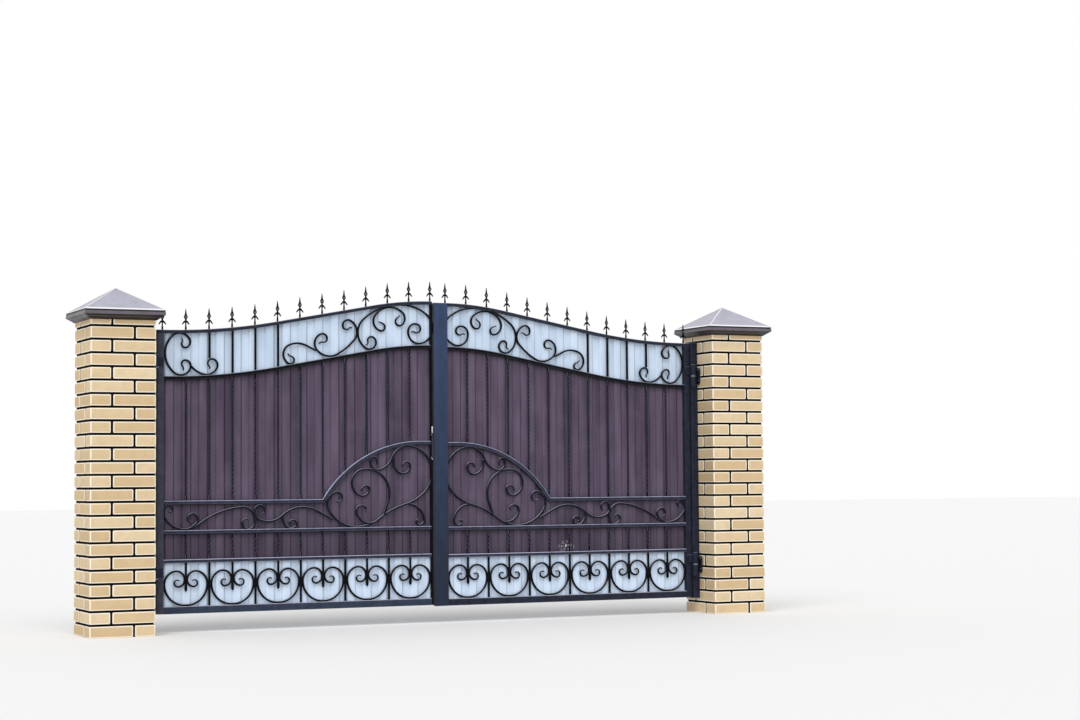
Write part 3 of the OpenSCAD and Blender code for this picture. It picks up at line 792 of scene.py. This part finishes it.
def pull_handle():
    """Turned rod with a thicker grip on two short standoffs; the grip and the roses are rubbed bright."""
    u = field_end + pull_in
    y = leaf_y - pull_off
    grip = pull_len - grip_len
    # radius, height and mark
    rod = np.array([
        (1.2, 0, 1), (2.6, 0.8, 1), (pull_r, 2.5, 1), (pull_r, 7, 1), (pull_r, 9, 0), (pull_r, grip - 2, 0),
        (pull_r + 1.2, grip - 1, 0), (pull_r + 2, grip + 1, 1), (pull_r + 2, pull_len - 5, 1),
        (pull_r + 1, pull_len - 1.5, 1), (2.5, pull_len, 1)])
    standoff = [(standoff_r, 0), (standoff_r, pull_off)]
    rose = [(standoff_r, 0), (4.2, 0.6), (4.6, 2.9)]
    parts = [turned(rod[:, :2], (u, y, pull_z), around=16, mark=rod[:, 2])]
    for z in (pull_z + standoff_in, pull_z + grip - standoff_in):
        parts.append(turned(standoff, (u, y, z), axis=1, around=16, mark=0.3))
        parts.append(turned(rose, (u, leaf_y - 3, z), axis=1, around=16, mark=0.8))
    return parts


def cover_strip():
    """Flat bar over the wide meeting stile, its long edges slightly rounded."""
    return [block((field_end, leaf_y - strip_t, clearance),
                  (right_w + strip_lap, leaf_y, shoulder_z + rise - strip_down), r=1.6)]


# finishes

def tint(code):
    """sRGB hex to linear colour."""
    v = np.array([int(code[i:i + 2], 16) for i in (1, 3, 5)]) / 255
    return (*np.where(v <= 0.04045, v / 12.92, ((v + 0.055) / 1.055) ** 2.4), 1.0)


def node(tree, kind, inputs=(), **settings):
    """Add a node with its settings. Its inputs are values, hex colours, outputs, or nodes for their output.

    Map Range takes the value, the range it comes from and the range it goes to at 0 to 4. Mix mixes colours,
    and takes the factor and two colours at 0, 6 and 7.
    """
    new = tree.nodes.new("ShaderNode" + kind)
    if kind == "Mix":
        new.data_type = "RGBA"
    for key, value in settings.items():
        setattr(new, key, value)
    for key, value in dict(inputs).items():
        if isinstance(value, bpy.types.Node):
            value = next(out for out in value.outputs if out.enabled)
        if isinstance(value, bpy.types.NodeSocket):
            tree.links.new(value, new.inputs[key])
        else:
            new.inputs[key].default_value = tint(value) if isinstance(value, str) else value
    return new


def material(name, surface, *look):
    """New material. Its shader's inputs are what the function surface works out from the Object coordinates
    and the look, with nodes that it adds by the function add.
    """
    new = bpy.data.materials.new(name)
    new.use_nodes = True
    new.node_tree.nodes.clear()
    add = partial(node, new.node_tree)
    shader = add("BsdfPrincipled", surface(add, add("TexCoord").outputs["Object"], *look))
    add("OutputMaterial", {0: shader})
    return new


def coats(add, base, *layers):
    """Lay colours over a base one by one. A layer is (amount, low, high, most, colour): its cover grows from
    nothing, where the amount is low, to most, where it is high.
    """
    for amount, low, high, most, colour in layers:
        cover = add("MapRange", {0: amount, 1: low, 2: high, 4: most})
        base = add("Mix", {0: cover, 6: base, 7: colour})
    return base


def facing_brick(add, where):
    """Cream clay facing brick: matt and sandy, each its own shade, arrises painted pale as highlights, joints
    painted black as shade.
    """
    mark = add("Attribute", attribute_name="mark").outputs["Fac"]
    shade = add("Math", {0: mark}, operation="FLOOR")
    arris = add("Math", {0: mark}, operation="FRACT")
    count = len(brick_shades)
    ramp = add("ValToRGB", {0: add("Math", {0: shade, 1: count}, operation="DIVIDE")})
    stops = ramp.color_ramp.elements
    for i, code in enumerate(brick_shades):
        stop = stops[i] if i < 2 else stops.new(1.0)
        stop.position = max(i - 0.5, 0) / count
        stop.color = tint(code)
    ramp.color_ramp.interpolation = "CONSTANT"
    # sand grains of 1 mm are drawn at 4 mm, kiln clouds at 50 mm
    sand = add("TexNoise", {"Vector": where, "Scale": 1000 / 4, "Detail": 4})
    cloud = add("TexNoise", {"Vector": where, "Scale": 1000 / 50, "Detail": 2})
    # deeper in than 2.5 mm from the faces of either pillar the bricks are painted black as the shade of the
    # raked joints, with some soiling
    place_x, place_y, _ = add("SeparateXYZ", {0: where}).outputs
    from_left = add("Math", {0: place_x}, operation="ABSOLUTE")
    from_right = add("Math", {0: place_x, 1: span / 1000}, operation="SUBTRACT")
    from_right = add("Math", {0: from_right}, operation="ABSOLUTE")
    along = add("Math", {0: from_left, 1: from_right}, operation="MINIMUM")
    across = add("Math", {0: place_y}, operation="ABSOLUTE")
    out = add("Math", {0: along, 1: across}, operation="MAXIMUM")
    # the arris layer is a painted highlight, and the last layer is painted shade in the joints
    base = coats(add, ramp, (cloud, 0.4, 0.75, 0.3, "#BDA47C"), (sand, 0.55, 0.75, 0.3, "#A58D6C"),
                 (arris, 0.1, 0.5, 0.85, "#FAF1DF"),
                 (out, (side - 2.5) / 1000, (side - 4.5) / 1000, 1, "#0E0B09"))
    bump = add("Bump", {"Height": sand, "Distance": 0.0012, "Strength": 0.6})
    return {"Base Color": base, "Roughness": 0.85, "Normal": bump}


def raked_mortar(add, where):
    """Dark cement mortar, raked out and left rough, painted near-black partly as the shade in the deep
    joints.
    """
    # sand grains of 2 mm are drawn at 5 mm
    sand = add("TexNoise", {"Vector": where, "Scale": 1000 / 5, "Detail": 4})
    base = coats(add, "#0B0908", (sand, 0.35, 0.7, 1, "#1A1714"))
    bump = add("Bump", {"Height": sand, "Distance": 0.0025})
    return {"Base Color": base, "Roughness": 0.95, "Specular IOR Level": 0.1, "Normal": bump}


def coated_cap_sheet(add, where):
    """Brown polyester coating on folded steel, paler where it faces up, partly chalking and partly a painted
    sky reflection, with painted highlights along the folds and painted shade under them.
    """
    mark = add("Attribute", attribute_name="mark").outputs["Fac"]
    up = add("SeparateXYZ", {0: add("NewGeometry").outputs["Normal"]}).outputs[2]
    cloud = add("TexNoise", {"Vector": where, "Scale": 1000 / 60, "Detail": 3})
    base = coats(add, "#57535A", (cloud, 0.3, 0.7, 1, "#656068"))
    # faces that look up are painted paler, partly chalking and partly a painted reflection of the sky
    facing = add("MapRange", {0: up, 1: 0.3, 2: 0.9})
    patchy = add("MapRange", {0: cloud, 1: 0.25, 2: 0.75, 3: 0.75, 4: 1.1})
    chalk_and_sky_sheen = add("Math", {0: facing, 1: patchy}, operation="MULTIPLY")
    base = add("Mix", {0: chalk_and_sky_sheen, 6: base, 7: "#ACABBA"})
    # marks above 0 are painted highlights along the folds, and those below 0 painted shade under the hem and
    # on the collar
    base = coats(add, base, (mark, 0, 1, 0.8, "#F2F2F6"), (mark, 0, -1, 1, "#15110F"))
    dents = add("TexNoise", {"Vector": where, "Scale": 1000 / 90, "Detail": 1})
    bump = add("Bump", {"Height": dents, "Distance": 0.001, "Strength": 0.5})
    rough = add("MapRange", {0: cloud, 1: 0.3, 2: 0.7, 3: 0.32, 4: 0.5})
    return {"Base Color": base, "Roughness": rough, "Specular IOR Level": 0.3, "Normal": bump}


def enamel(add, where, dark, light, rim, dust_and_sheen, gloss):
    """Satin enamel brushed on steel: a little thick and thin, paler where it faces up, partly dusty and
    partly a painted sky highlight, with painted highlights on its rims and arrises and rubbed at the hinges'
    splits.
    """
    mark = add("Attribute", attribute_name="mark").outputs["Fac"]
    up = add("SeparateXYZ", {0: add("NewGeometry").outputs["Normal"]}).outputs[2]
    cloud = add("TexNoise", {"Vector": where, "Scale": 1000 / 35, "Detail": 3})
    # faces that look up are painted paler, partly as dusty enamel and partly as a painted highlight of the
    # sky
    base = coats(add, dark, (cloud, 0.3, 0.7, 1, light), (up, 0.15, 0.7, dust_and_sheen, "#B4B6C6"))
    patchy = add("MapRange", {0: cloud, 1: 0.25, 2: 0.6, 3: 0.6, 4: 1.0})
    # marked rims, arrises and spots are painted pale as highlights; only the barrel ends at the split are
    # rubbed
    worn = add("Math", {0: mark, 1: patchy}, operation="MULTIPLY", use_clamp=True)
    base = add("Mix", {0: worn, 6: base, 7: rim})
    # brush marks of 3 mm
    marks = add("TexNoise", {"Vector": where, "Scale": 1000 / 3, "Detail": 2})
    bump = add("Bump", {"Height": marks, "Distance": 0.00025, "Strength": 0.5})
    rough = add("MapRange", {0: cloud, 1: 0.3, 2: 0.7, 3: gloss, 4: gloss + 0.12})
    return {"Base Color": base, "Roughness": rough, "Specular IOR Level": 0.05, "Normal": bump}


def strip_enamel(add, where):
    """Slate blue enamel on flat bar, painted darker towards the ground as a painted reflection of the ground.
    """
    height = add("SeparateXYZ", {0: where}).outputs[2]
    drawn = add("Mapping", {"Vector": where, "Scale": (1, 1, 1 / 3)})
    cloud = add("TexNoise", {"Vector": drawn, "Scale": 1000 / 45, "Detail": 3})
    spread = add("MapRange", {0: cloud, 1: 0.3, 2: 0.7})
    low = add("Mix", {0: spread, 6: "#1A2335", 7: "#212A3D"})
    high = add("Mix", {0: spread, 6: "#2A3954", 7: "#334465"})
    # the strip is painted darker low down, a painted reflection of the ground
    base = coats(add, low, (height, 0.3, 1.8, 1, high))
    dents = add("TexNoise", {"Vector": drawn, "Scale": 1000 / 60, "Detail": 1})
    bump = add("Bump", {"Height": dents, "Distance": 0.0008, "Strength": 0.4})
    return {"Base Color": base, "Roughness": 0.38, "Specular IOR Level": 0.2, "Normal": bump}


def brown_sheet(add, where):
    """Brown polyester coil coating on ribbed steel: satin, dusty in soft bands, painted darker low down as
    shade, with painted shade in the folds and painted shadow under the rails.
    """
    mark = add("Attribute", attribute_name="mark").outputs["Fac"]
    height = add("SeparateXYZ", {0: where}).outputs[2]
    drawn = add("Mapping", {"Vector": where, "Scale": (1, 1, 1 / 9)})
    band = add("TexNoise", {"Vector": drawn, "Scale": 1000 / 70, "Detail": 2})
    cloud = add("TexNoise", {"Vector": where, "Scale": 1000 / 160, "Detail": 3})
    # the height layer paints shade low down, and the mark paints shade, with some soiling, in the folds and
    # shadow under the rails
    base = coats(add, "#413649", (band, 0.3, 0.7, 1, "#5E5266"), (cloud, 0.5, 0.8, 0.35, "#6E6276"),
                 (height, 0.8, 0.4, 0.5, "#2E2633"), (mark, 0, 1, 0.85, "#0E0A10"))
    # one white smear of paint on the front of the right leaf, about 80 mm wide
    away = add("VectorMath", {0: where, 1: (2.905, 0.03, 0.445)}, operation="SUBTRACT")
    away = add("VectorMath", {0: away, 1: (1.0, 0.3, 1.3)}, operation="MULTIPLY")
    far = add("VectorMath", {0: away}, operation="LENGTH")
    near = add("MapRange", {0: far, 1: 0.06, 2: 0.02})
    blotch = add("TexNoise", {"Vector": where, "Scale": 1000 / 14, "Detail": 4})
    blotchy = add("MapRange", {0: blotch, 1: 0.5, 2: 0.62})
    front = add("MapRange", {0: mark, 1: -0.5, 2: -0.1})
    smear = add("Math", {0: near, 1: blotchy}, operation="MULTIPLY")
    smear = add("Math", {0: smear, 1: front}, operation="MULTIPLY")
    base = add("Mix", {0: smear, 6: base, 7: "#C9C6CF"})
    dents = add("TexNoise", {"Vector": drawn, "Scale": 1000 / 110, "Detail": 1})
    bump = add("Bump", {"Height": dents, "Distance": 0.0015, "Strength": 0.4})
    rough = add("MapRange", {0: cloud, 1: 0.3, 2: 0.7, 3: 0.38, 4: 0.55})
    return {"Base Color": base, "Roughness": rough, "Specular IOR Level": 0.25, "Normal": bump}


def pale_sheet(add, where):
    """Galvanised ribbed steel with its pale blue-white primer: cloudy, painted lighter low down as light,
    with painted shade in the folds and painted shadow under the rails.
    """
    mark = add("Attribute", attribute_name="mark").outputs["Fac"]
    height = add("SeparateXYZ", {0: where}).outputs[2]
    drawn = add("Mapping", {"Vector": where, "Scale": (1, 1, 1 / 3)})
    cloud = add("TexNoise", {"Vector": drawn, "Scale": 1000 / 90, "Detail": 3})
    # the height layer paints light low down, and the mark paints shade in the folds and shadow under the
    # rails
    base = coats(add, "#B8CADE", (cloud, 0.3, 0.7, 1, "#CDDCEF"), (height, 0.5, 0.4, 0.5, "#DAEAFF"),
                 (mark, 0, 1, 0.4, "#3E434C"))
    dents = add("TexNoise", {"Vector": drawn, "Scale": 1000 / 110, "Detail": 1})
    bump = add("Bump", {"Height": dents, "Distance": 0.0012, "Strength": 0.4})
    return {"Base Color": base, "Roughness": 0.45, "Normal": bump}


def worn_steel(add, where):
    """Steel with dark enamel rubbed through by hands: bright, finely brushed metal on the grip."""
    mark = add("Attribute", attribute_name="mark").outputs["Fac"]
    drawn = add("Mapping", {"Vector": where, "Scale": (1, 1, 1 / 12)})
    # brush lines of 1.5 mm
    line = add("TexNoise", {"Vector": drawn, "Scale": 1000 / 1.5, "Detail": 2})
    bright = coats(add, "#C8C8CC", (line, 0.3, 0.7, 1, "#E6E6E8"))
    base = add("Mix", {0: mark, 6: "#4A4C55", 7: bright})
    rough = add("MapRange", {0: line, 1: 0.3, 2: 0.7, 3: 0.22, 4: 0.4})
    return {"Base Color": base, "Metallic": 1.0, "Roughness": rough}


brick_finish = material("cream_facing_brick", facing_brick)
mortar_finish = material("dark_mortar", raked_mortar)
cap_finish = material("brown_coated_cap_sheet", coated_cap_sheet)
frame_finish = material("blue_black_satin_enamel", enamel, "#21242F", "#2D3140", "#B4B4C2", 0.35, 0.3)
rail_finish = material("blue_black_satin_enamel_on_rail", enamel, "#2A2C3C", "#353849", "#B2B4CC", 0.35, 0.3)
faded_finish = material("faded_blue_black_enamel", enamel, "#3A3C48", "#484A57", "#B4B4C2", 0.35, 0.34)
foot_finish = material("slate_satin_enamel_on_foot_rail", enamel, "#2F3748", "#394254", "#B4B4C2", 0.35, 0.34)
scroll_finish = material("blue_black_enamel_on_forged_scroll", enamel, "#13151F", "#1D202C", "#A2A5C0", 0.75,
                         0.3)
twist_finish = material("blue_black_enamel_on_twisted_bar", enamel, "#06070B", "#0D0F15", "#676980", 0.3, 0.3)
point_finish = material("blue_black_enamel_on_spear_point", enamel, "#060508", "#0C0B10", "#A0A0AC", 0.1, 0.3)
forged_finish = material("blue_black_enamel_on_forged_bar", enamel, "#08090D", "#0F1117", "#A6A6B6", 0.55,
                         0.3)
strip_finish = material("slate_enamel_strip", strip_enamel)
brown_finish = material("brown_coated_sheet", brown_sheet)
pale_finish = material("pale_primed_sheet", pale_sheet)
steel_finish = material("worn_bright_steel", worn_steel)

# the pieces that stand still
for hand, x in (("left", 0), ("right", span)):
    pillar = ["pillar_" + hand]
    make("bricks_" + hand, pillar_bricks(x, brick_seed[hand]), brick_finish, "pillars", pillar, "brick")
    make("mortar_" + hand, mortar(x), mortar_finish, "pillars", pillar, "brick")
    make("cap_cover_" + hand, cap_cover(x), cap_finish, "pillars", ["cap_" + hand], "cap_sheet")
    make("hinge_post_" + hand, [place(hand, part, 0, 0) for part in hinge_post()], frame_finish, "pillars",
         ["post_" + hand], "frame_paint")

# the pieces of both leaves; the right one's lower cross rail has the strongest painted highlights on its
# rims, and the enamel fades unevenly
low_rail_highlight = {"left": [1.1], "right": [1.0, 1.6, 1.5, 1.1, 0.9, 1.1, 1.8, 2.2, 2.2]}
foot = {"left": foot_finish, "right": frame_finish}
hinge_side = {"left": faded_finish, "right": frame_finish}
for hand, end in (("left", left_w), ("right", right_w)):
    leaf = [
        ("hinge_halves", hinge_half(), frame_finish, "frame_paint"),
        ("hinge_stile", stile(0, stile_w, shoulder_z - rail), hinge_side[hand], "frame_paint"),
        # the meeting stiles take the near-black enamel as painted shade from the cover strip
        ("meeting_stile", stile(field_end, end, shoulder_z + rise - rail), forged_finish, "frame_paint"),
        ("bottom_rail", [level_rail(bottom_z, bottom_h, frame_d, [0.8])], foot[hand], "frame_paint"),
        ("top_rail", top_rail(end), frame_finish, "frame_paint"),
        ("band_rail", band_rail(), forged_finish, "frame_paint"),
        ("arch_rail", arch_rail(), rail_finish, "frame_paint"),
        ("cross_rails", [level_rail(low_rail_z, rail, rail, low_rail_highlight[hand]),
                         level_rail(mid_rail_z, rail, rail, [0.75])], rail_finish, "frame_paint"),
        ("twisted_bars", twisted_bars(), twist_finish, "forged_iron"),
        ("band_bars", band_bars(), forged_finish, "forged_iron"),
        ("finials", sum((finial(u) for u in bar_lines(0, bays)), []), point_finish, "forged_iron"),
        ("band_scrolls", band_scrolls(), forged_finish, "forged_iron"),
        ("arch_scrolls", arch_scrolls(), scroll_finish, "forged_iron"),
        ("wave_scrolls", wave_scrolls(), scroll_finish, "forged_iron"),
        ("hearts", hearts(), forged_finish, "forged_iron"),
        ("top_sheet", top_sheet(hand), pale_finish, "pale_sheet"),
        ("main_sheet", main_sheet(hand), brown_finish, "brown_sheet"),
        ("bottom_sheet", bottom_sheet(hand), pale_finish, "pale_sheet"),
    ]
    for name, parts, finish, slot in leaf:
        drop = 0 if name == "hinge_halves" else right_drop
        make(name + "_" + hand, [place(hand, part, drop=drop) for part in parts], finish, hand + "_leaf",
             [hand[0] + "_" + name], slot)

make("pull_handle", [place("left", part) for part in pull_handle()], steel_finish, "left_leaf", ["l_pull"],
     "bare_steel")
make("cover_strip_piece", [place("right", part) for part in cover_strip()], strip_finish, "right_leaf",
     ["cover_strip"], "strip_paint")

# floor, 120 m square
floor_mesh = bpy.data.meshes.new("floor")
floor_mesh.from_pydata([(-60, -60, 0), (60, -60, 0), (60, 60, 0), (-60, 60, 0)], [], [(0, 1, 2, 3)])
floor = bpy.data.objects.new("floor", floor_mesh)
bpy.context.scene.collection.objects.link(floor)
floor_look = {"Base Color": "#E9E9E9", "Roughness": 0.9}
floor_mesh.materials.append(material("pale_floor", lambda add, where: floor_look))

# an even pale sky, white where the camera or a mirror sees it
world = bpy.data.worlds.new("pale_sky")
bpy.context.scene.world = world
world.use_nodes = True
tree = world.node_tree
tree.nodes.clear()
rays = node(tree, "LightPath").outputs
seen = node(tree, "Math", {0: rays["Is Camera Ray"], 1: rays["Is Glossy Ray"]}, operation="MAXIMUM")
seen = node(tree, "Math", {0: seen, 1: rays["Is Transmission Ray"]}, operation="MAXIMUM")
strength = node(tree, "MapRange", {0: seen, 3: 0.66, 4: 1.0})
node(tree, "OutputWorld", {0: node(tree, "Background", {"Color": "#FFFFFF", "Strength": strength})})

# one broad soft sun from the front left: degrees above the horizon, and to the left of straight in front
sun_height = 50
sun_left = 30
sun = bpy.data.lights.new("soft_sun", "SUN")
sun.angle = math.radians(50)
sun.energy = 1.9
sun_lamp = bpy.data.objects.new("soft_sun", sun)
bpy.context.scene.collection.objects.link(sun_lamp)
tilt = Matrix.Rotation(math.radians(90 - sun_height), 4, "X")
sun_lamp.matrix_world = Matrix.Rotation(math.radians(-sun_left), 4, "Z") @ tilt

# camera where the photograph was taken, by the joints and edges of both pillars, in metres and degrees
camera_place = (-3.1027, -12.1245, 0.8666)
camera_turn = (25.644, 3.2367, -0.449)
yaw, pitch, roll = (math.radians(v) for v in camera_turn)
ahead = np.array([math.sin(yaw) * math.cos(pitch), math.cos(yaw) * math.cos(pitch), math.sin(pitch)])
across = np.array([math.cos(yaw), -math.sin(yaw), 0])
above = np.cross(across, ahead)
right = math.cos(roll) * across + math.sin(roll) * above
up = math.cos(roll) * above - math.sin(roll) * across
lens = bpy.data.cameras.new("camera")
lens.sensor_width = 36
lens.lens = 71.04
camera = bpy.data.objects.new("camera", lens)
bpy.context.scene.collection.objects.link(camera)
stand = Matrix(np.stack([right, up, -ahead], 1).tolist()).to_4x4()
stand.translation = camera_place
camera.matrix_world = stand
bpy.context.scene.camera = camera
bpy.context.scene.view_settings.view_transform = "Standard"
